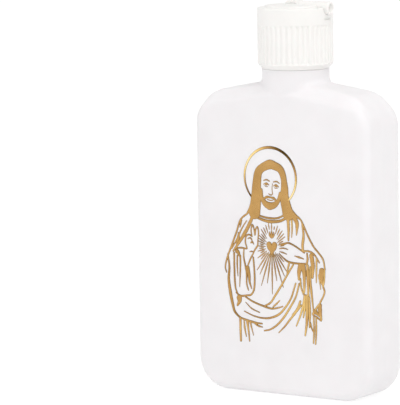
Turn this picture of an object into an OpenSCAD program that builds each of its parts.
// Flat flask-shaped water bottle with a screw cap and a turning spout.
// Millimetres. +Z is up, the printed face looks to -Y, and the bottle stands on z = 0.

/* [Bottle body] */
// Width of the body across its narrow sides
body_w = 64.3; // [58:0.1:72]
// Depth of the body from front face to back face
body_d = 21.0; // [19:0.1:26]
// Height of the shoulder where it meets the neck
body_h = 99.3; // [85:0.1:120]
// Radius of the lower corners, seen from the front
base_corner_r = 10.4; // [7:0.2:14]
// Radius of the shoulder's outer corners on the middle plane
ridge_corner_r = 11.2; // [9:0.2:13]
// Radius of the upper corners of the flat front and back faces
face_corner_r = 8.6; // [7:0.2:9]
// Height of the neck's foot above the centres of the upper corners
shoulder_drop = 13.8; // [12.6:0.2:18]
// How far the top of a flat face stays below the neck's foot
face_drop = 1.7; // [1:0.1:3]
// Radius of the crown along the top of a flat face
face_crown_r = 22; // [16:0.5:28]
// How far the shoulder ridge lies behind the flat faces
ridge_inset = 1.6; // [0.6:0.1:2.6]
// Radius along the edges of the flat faces
edge_r = 2.8; // [2:0.1:4]
// Thickness of the blown wall
wall = 1.0; // [0.7:0.05:1.4]
// Height of the push-up under the base
pushup_h = 1.2; // [0.6:0.1:2]
// Width of the flat rim that the bottle stands on
stand_rim = 1.6; // [1:0.1:2.6]

/* [Neck] */
// How far the foot of the smooth collar lies behind the flat faces
collar_inset = 0.1; // [0.05:0.05:0.5]
// How far the collar flares out from its foot to the shoulder
collar_flare = 0.25; // [0.1:0.05:0.5]
// Height of the collar above the shoulder
collar_h = 4.0; // [3:0.1:7]
// Diameter of the screw finish without its thread
finish_d = 17.5; // [16.6:0.1:18.6]
// Height of the screw finish above the collar
finish_h = 14.5; // [12:0.1:18]
// Diameter of the mouth
mouth_d = 14.8; // [12:0.1:15.2]
// Rounding of the lip and of the collar
neck_round = 0.2; // [0.15:0.05:0.8]

/* [Cap] */
// Height that the neck's thread stands out from the finish
thread_h = 1.05; // [0.8:0.05:1.3]
// Clearance between the thread's crest and the cap's wall
thread_gap = 0.3; // [0.2:0.05:0.5]
// Wall of the cap outside its bore
cap_wall = 1.9; // [1.6:0.1:2.6]
// Gap between the collar and the cap's lower edge
skirt_gap = 0.04; // [0.02:0.01:1]
// Height of the tapered lower edge of the skirt
skirt_taper_h = 1.6; // [1:0.1:3]
// Wall left at the very bottom of the skirt
skirt_edge_w = 0.4; // [0.3:0.1:1]
// Height of the smooth band below the grooves
skirt_band_h = 1.7; // [1.2:0.1:3]
// Number of grip ribs round the skirt
rib_count = 42; // [24:1:48]
// Depth of the grooves between ribs
rib_depth = 0.32; // [0.24:0.02:0.6]
// Radius of a rib's round crest
rib_r = 0.8; // [0.7:0.05:0.9]
// How far the ribs' crests stay inside the crown
rib_setback = 0.05; // [0.03:0.01:0.15]
// Height over which the grooves run out below the crown
rib_run = 0.9; // [0.4:0.1:1.5]
// Height of the smooth crown band below the rim
crown_h = 5.3; // [4:0.1:6]
// Height of the rim above the sealing deck
rim_h = 3.8; // [3.4:0.1:4.4]
// Rounding of the rim's outer edge
rim_round = 0.5; // [0.2:0.1:1]
// Width of the flat ledge between the rim and the raised top
ledge_w = 2.6; // [2:0.1:3.4]
// Height of the step from the ledge to the raised top
top_step = 0.6; // [0.4:0.1:1.2]
// Width of that step's slope
top_step_w = 0.3; // [0.1:0.1:0.6]
// Rise of the raised top from its edge to its middle
top_rise = 0.5; // [0.3:0.1:1.2]
// Thickness of the deck under the spout's hub
deck_t = 1.05; // [1:0.05:1.8]
// Diameter of the outlet through the deck
outlet_d = 2.4; // [1.6:0.1:2.8]

/* [Washer] */
// Thickness of the sealing washer
washer_t = 1.0; // [0.6:0.1:2]
// Diameter of the washer's hole
washer_hole_d = 8.0; // [6:0.5:11]
// Gap between the washer and the cap's bore
washer_gap = 0.3; // [0.2:0.1:0.6]

/* [Spout] */
// Diameter of the spout's barrel hub
hub_d = 5.0; // [4.8:0.1:5.4]
// Length of the hub along its turning axis
hub_len = 5.2; // [5:0.1:6.4]
// Clearance between the hub and its seat
hub_gap = 0.06; // [0.04:0.01:0.1]
// Clearance at each end of the hub
hub_end_gap = 0.12; // [0.08:0.02:0.3]
// Diameter of the spout's tube at the hub
tube_root_d = 4.2; // [3.8:0.1:4.4]
// Diameter of the spout's tube at its tip
tube_tip_d = 4.14; // [3.4:0.02:4.2]
// Diameter of the spout's bore
tube_bore_d = 1.2; // [0.8:0.1:2.6]
// How far the tip reaches past the crown
tip_overhang = 1.3; // [0.2:0.1:2]
// Rounding of the tip's outer edge
tip_round = 0.4; // [0.2:0.1:0.6]
// Diameter of the countersink in the tip
tip_cone_d = 3.0; // [1.4:0.1:3.2]
// Depth of the countersink in the tip
tip_cone_h = 2.6; // [0.8:0.1:3]
// Clearance between the tube and its slot
slot_gap = 0.06; // [0.05:0.01:0.5]
// Diameter of a trunnion
trunnion_d = 1.6; // [1.2:0.1:1.8]
// Length of a trunnion beyond the hub
trunnion_len = 0.9; // [0.6:0.1:1.2]
// Clearance round a trunnion and at its end
trunnion_gap = 0.05; // [0.03:0.01:0.1]
// Wall left between the slot and the thumb notch below it
notch_drop = 0.9; // [0.4:0.1:1.2]
// Height of the thumb notch
notch_h = 0.6; // [0.4:0.1:1]
// Width of the thumb notch
notch_w = 3.6; // [2.5:0.1:5]
// How far the thumb notch reaches in from the crown
notch_len = 0.4; // [0.3:0.1:1.4]

/* [Hidden] */

// Segments of true round surfaces, of hulled discs and of small edge arcs
round_fn = 96;
disc_fn = 40;
arc_steps = 5;
// Overlap that keeps cuts and joined solids from sharing a face
bite = 0.5;

// Heights from the base up
corner_z = body_h - shoulder_drop;
collar_z = body_h + collar_h;
lip_z = collar_z + finish_h;
deck_z = lip_z + washer_t;
rim_z = deck_z + rim_h;
skirt_z = collar_z + skirt_gap;
crown_z = rim_z - crown_h;
hub_z = deck_z + deck_t + hub_gap + hub_d / 2;

// Radii from the neck out
foot_r = body_d / 2 - ridge_inset;
collar_foot_r = body_d / 2 - collar_inset;
collar_r = collar_foot_r + collar_flare;
mouth_r = mouth_d / 2;
finish_r = finish_d / 2;
cap_bore_r = finish_r + thread_h + thread_gap;
cap_r = cap_bore_r + cap_wall;
washer_r = cap_bore_r - washer_gap;
top_r = cap_r - ledge_w;
slot_w = tube_root_d + 2 * slot_gap;
seat_r = hub_d / 2 + hub_gap;
seat_len = hub_len + 2 * hub_end_gap;
trunnion_span = hub_len + 2 * trunnion_len;
tip_x = cap_r + tip_overhang;

// Points of a quarter arc about a centre, from one angle to another
function arc(centre, r, from, to) =
    [for (i = [0:arc_steps]) let (a = from + (to - from) * i / arc_steps) centre + r * [cos(a), sin(a)]];

// Points of a shallow dome from its edge to its middle
function dome(r, z, rise) =
    let (ball_r = (r * r + rise * rise) / (2 * rise), half = asin(r / ball_r))
    [for (i = [0:arc_steps]) let (a = half * (1 - i / arc_steps))
        [ball_r * sin(a), z + rise - ball_r * (1 - cos(a))]];

// Disc with a rounded rim, its axis along Y
module rounded_disc(r, depth, edge) {
    half = depth / 2;
    rotate([90, 0, 0])
        rotate_extrude($fn = disc_fn)
            polygon(concat(
                [[0, -half]],
                arc([r - edge, edge - half], edge, -90, 0),
                arc([r - edge, half - edge], edge, 0, 90),
                [[0, half]]
            ));
}

// Slab body and shoulder, drawn in from the outer surface by an inset
module flask(inset) {
    edge = edge_r - inset;
    depth = body_d - 2 * inset;
    hull() {
        for (side = [-1, 1]) {
            translate([side * (body_w / 2 - base_corner_r), 0, base_corner_r])
                rounded_disc(base_corner_r - inset, depth, edge);
            translate([side * (body_w / 2 - face_corner_r), 0, corner_z])
                rounded_disc(face_corner_r - inset, depth, edge);
            translate([side * (body_w / 2 - ridge_corner_r), 0, corner_z])
                rounded_disc(ridge_corner_r - inset, depth - 2 * ridge_inset, edge);
        }
        translate([0, 0, body_h - face_drop - face_crown_r])
            rounded_disc(face_crown_r - inset, depth, edge);
        translate([0, 0, body_h - inset - wall])
            cylinder(r = foot_r - inset, h = wall, $fn = disc_fn);
    }
}

// Push-up under the base, grown by the wall where it stands inside the bottle
module pushup(grow) {
    r = body_d / 2 - edge_r - stand_rim + grow;
    reach = body_w / 2 - base_corner_r - stand_rim - r + grow;
    hull()
        for (side = [-1, 1])
            translate([side * reach, 0, -bite])
                cylinder(r1 = r + bite, r2 = r - pushup_h, h = pushup_h + bite + grow, $fn = disc_fn);
}

// Collar and screw finish as one turned form, sunk into the shoulder to below the flat faces' top edges
module neck() {
    sunk_z = body_h - face_drop - edge_r - wall;
    rotate_extrude($fn = round_fn)
        polygon(concat(
            [[0, sunk_z], [collar_foot_r, sunk_z], [collar_r, body_h]],
            arc([collar_r - neck_round, collar_z - neck_round], neck_round, 0, 90),
            [[finish_r, collar_z]],
            arc([finish_r - neck_round, lip_z - neck_round], neck_round, 0, 90),
            [[0, lip_z]]
        ));
}

module bottle() {
    color("#f1eef2")
        difference() {
            union() {
                flask(0);
                neck();
            }
            difference() {
                flask(wall);
                pushup(wall);
            }
            translate([0, 0, body_h - 2 * wall - bite])
                cylinder(r = mouth_r, h = lip_z - body_h + 2 * wall + 2 * bite, $fn = round_fn);
            pushup(0);
        }
}

module seal_washer() {
    color("#e4e6e8")
        translate([0, 0, lip_z])
            difference() {
                cylinder(r = washer_r, h = washer_t, $fn = round_fn);
                translate([0, 0, -bite])
                    cylinder(d = washer_hole_d, h = washer_t + 2 * bite, $fn = round_fn);
            }
}

// Outline of the skirt with its round ribs
module rib_outline() {
    crest_r = cap_r - rib_setback;
    circle(r = crest_r - rib_depth, $fn = round_fn);
    for (i = [0:rib_count - 1])
        rotate(i * 360 / rib_count)
            translate([crest_r - rib_r, 0])
                circle(r = rib_r, $fn = disc_fn);
}

// Cone that runs the grooves out under the crown
module groove_ends() {
    end_r = cap_r - 2 * rib_setback;
    rotate_extrude($fn = round_fn)
        polygon([
            [0, crown_z - 2 * rib_run],
            [end_r - 2 * rib_depth, crown_z - 2 * rib_run],
            [end_r, crown_z],
            [end_r, crown_z + bite],
            [0, crown_z + bite]
        ]);
}

// Band that the grooves run out into near the lower edge
module groove_feet() {
    end_r = cap_r - 2 * rib_setback;
    band_z = skirt_z + skirt_band_h;
    rotate_extrude($fn = round_fn)
        polygon([
            [0, skirt_z - bite],
            [end_r, skirt_z - bite],
            [end_r, band_z],
            [end_r - 2 * rib_depth, band_z + rib_run],
            [0, band_z + rib_run]
        ]);
}

// Ribbed skirt, tapered in at its lower edge
module ribbed_skirt() {
    clear_r = cap_r + bite;
    edge_r0 = cap_bore_r + skirt_edge_w;
    taper = (cap_r - edge_r0) / skirt_taper_h;
    intersection() {
        union() {
            translate([0, 0, skirt_z - 2 * bite])
                linear_extrude(crown_z - skirt_z + 3 * bite)
                    rib_outline();
            groove_feet();
        }
        rotate_extrude($fn = round_fn)
            polygon([
                [0, skirt_z],
                [edge_r0, skirt_z],
                [clear_r, skirt_z + (clear_r - edge_r0) / taper],
                [clear_r, rim_z],
                [0, rim_z]
            ]);
    }
}

// Smooth crown with its ledge and raised top
module crown() {
    rotate_extrude($fn = round_fn)
        polygon(concat(
            [[0, crown_z], [cap_r, crown_z]],
            arc([cap_r - rim_round, rim_z - rim_round], rim_round, 0, 90),
            [[top_r + top_step_w, rim_z]],
            dome(top_r, rim_z + top_step, top_rise)
        ));
}

// Seat of the hub, round-bottomed slot of the tube, thumb notch and trunnion holes
module spout_seat() {
    above = top_step + top_rise + rim_z - hub_z + bite;
    notch_z = hub_z - slot_w / 2 - notch_drop - notch_h;
    translate([0, 0, hub_z]) {
        rotate([90, 0, 0]) {
            cylinder(r = seat_r, h = seat_len, center = true, $fn = round_fn);
            cylinder(d = trunnion_d + 2 * trunnion_gap, h = trunnion_span + 2 * trunnion_gap, center = true,
                $fn = round_fn);
        }
        translate([-seat_r, -seat_len / 2, 0])
            cube([2 * seat_r, seat_len, above]);
        rotate([0, 90, 0])
            cylinder(d = slot_w, h = cap_r + bite, $fn = round_fn);
        translate([0, -slot_w / 2, 0])
            cube([cap_r + bite, slot_w, above]);
    }
    translate([cap_r - notch_len, -notch_w / 2, notch_z])
        cube([notch_len + bite, notch_w, notch_h]);
}

module cap() {
    color("#f8f6f1")
        difference() {
            union() {
                ribbed_skirt();
                groove_ends();
                crown();
            }
            translate([0, 0, skirt_z - bite])
                cylinder(r = cap_bore_r, h = deck_z - skirt_z + bite, $fn = round_fn);
            translate([0, 0, deck_z - bite])
                cylinder(d = outlet_d, h = deck_t + 2 * bite, $fn = round_fn);
            spout_seat();
        }
}

// Tube of the spout along +X, with a rounded tip
module spout_tube() {
    tip_r = tube_tip_d / 2;
    rotate([0, 90, 0])
        rotate_extrude($fn = round_fn)
            polygon(concat(
                [[0, 0], [tube_root_d / 2, 0]],
                arc([tip_r - tip_round, tip_x - tip_round], tip_round, 0, 90),
                [[0, tip_x]]
            ));
}

module spout() {
    color("#f8f6f1")
        translate([0, 0, hub_z])
            difference() {
                union() {
                    spout_tube();
                    rotate([90, 0, 0]) {
                        cylinder(d = hub_d, h = hub_len, center = true, $fn = round_fn);
                        cylinder(d = trunnion_d, h = trunnion_span, center = true, $fn = round_fn);
                    }
                }
                rotate([0, 90, 0]) {
                    translate([0, 0, -hub_d / 2 - bite])
                        cylinder(d = tube_bore_d, h = hub_d / 2 + tip_x + 2 * bite, $fn = round_fn);
                    translate([0, 0, tip_x - tip_cone_h])
                        cylinder(d1 = tube_bore_d / 2, d2 = 2 * tip_cone_d - tube_bore_d / 2,
                            h = 2 * tip_cone_h, $fn = round_fn);
                }
            }
}

bottle();
seal_washer();
cap();
spout();
